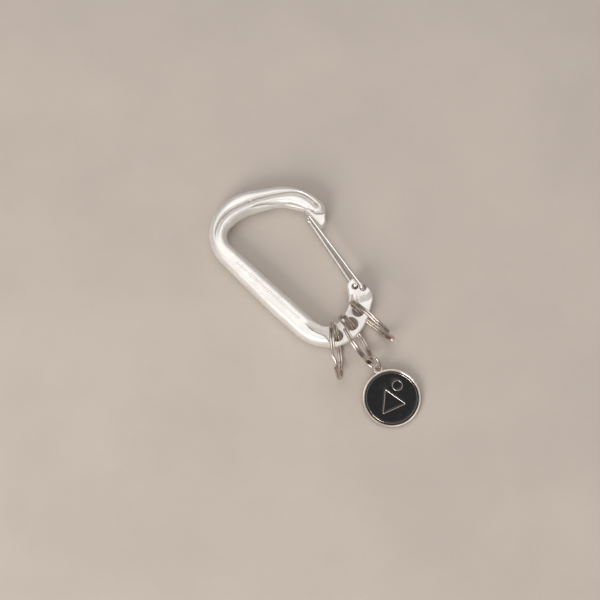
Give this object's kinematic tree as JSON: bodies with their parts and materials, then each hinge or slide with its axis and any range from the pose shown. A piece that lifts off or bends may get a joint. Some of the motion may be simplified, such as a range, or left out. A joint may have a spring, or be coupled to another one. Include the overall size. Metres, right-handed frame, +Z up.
{
  "type": "carabiner keyring",
  "caption": "Small wire-gate carabiner of satin aluminium with split rings through its foot and a round enamelled charm on a jump ring.",
  "frame": {"origin": "on the surface the carabiner lies on, below the spine's centre line, halfway along the basket's straight", "axes": "+Z up out of the surface, +Y along the spine to the nose end, +X across the basket towards the gate"},
  "size_m": [0.0553, 0.1241, 0.0251],
  "materials": {
    "bar": "fine bead-blasted and clear-anodised silver",
    "gate_wire": "polished stainless wire",
    "split_ring": "bright nickel plate over spring steel",
    "jump_ring": "bright nickel plate",
    "charm_metal": "bright nickel plate, raised lines polished",
    "enamel": "glossy black soft enamel, dished between the metal lines"
  },
  "bodies": {
    "frame": {"carabiner_frame": "bar"},
    "gate": {"wire_gate": "gate_wire"},
    "ring_left": {"split_ring_left": "split_ring"},
    "ring_middle": {"split_ring_middle": "split_ring"},
    "ring_right": {"split_ring_right": "split_ring"},
    "link": {"jump_ring": "jump_ring"},
    "charm": {"charm_disc": "charm_metal", "enamel_border": "enamel", "enamel_field": "enamel", "enamel_peak": "enamel", "enamel_sun": "enamel"}
  },
  "joints": [
    {"name": "gate_pivot", "type": "hinge", "parent": "frame", "child": "gate", "pos_m": [0.02865, -0.0266, 0.0045], "axis": [0, 0, 1], "range_deg": [0, 30], "stiffness_Nm_per_rad": 0.15, "springref_deg": -6.88},
    {"name": "left_ring_swing", "type": "hinge", "parent": "frame", "child": "ring_left", "pos_m": [0.0067, -0.0342, 0.0045], "axis": [0, 0, 1], "range_deg": [-25, 12]},
    {"name": "middle_ring_swing", "type": "hinge", "parent": "frame", "child": "ring_middle", "pos_m": [0.0147, -0.0352, 0.0045], "axis": [0, 0, 1], "range_deg": [-10, 10]},
    {"name": "right_ring_swing", "type": "hinge", "parent": "frame", "child": "ring_right", "pos_m": [0.0209, -0.0334, 0.0045], "axis": [0, 0, 1], "range_deg": [-8, 30]},
    {"name": "jump_ring_swing", "type": "hinge", "parent": "ring_middle", "child": "link", "pos_m": [0.00895, -0.05229, 0.00603], "axis": [-0.4075, -0.4499, 0.7947], "range_deg": [-15, 20]},
    {"name": "charm_swing", "type": "hinge", "parent": "link", "child": "charm", "pos_m": [0.00846, -0.05658, 0.00364], "axis": [0.4048, -0.4448, 0.7989], "range_deg": [-25, 25]}
  ]
}
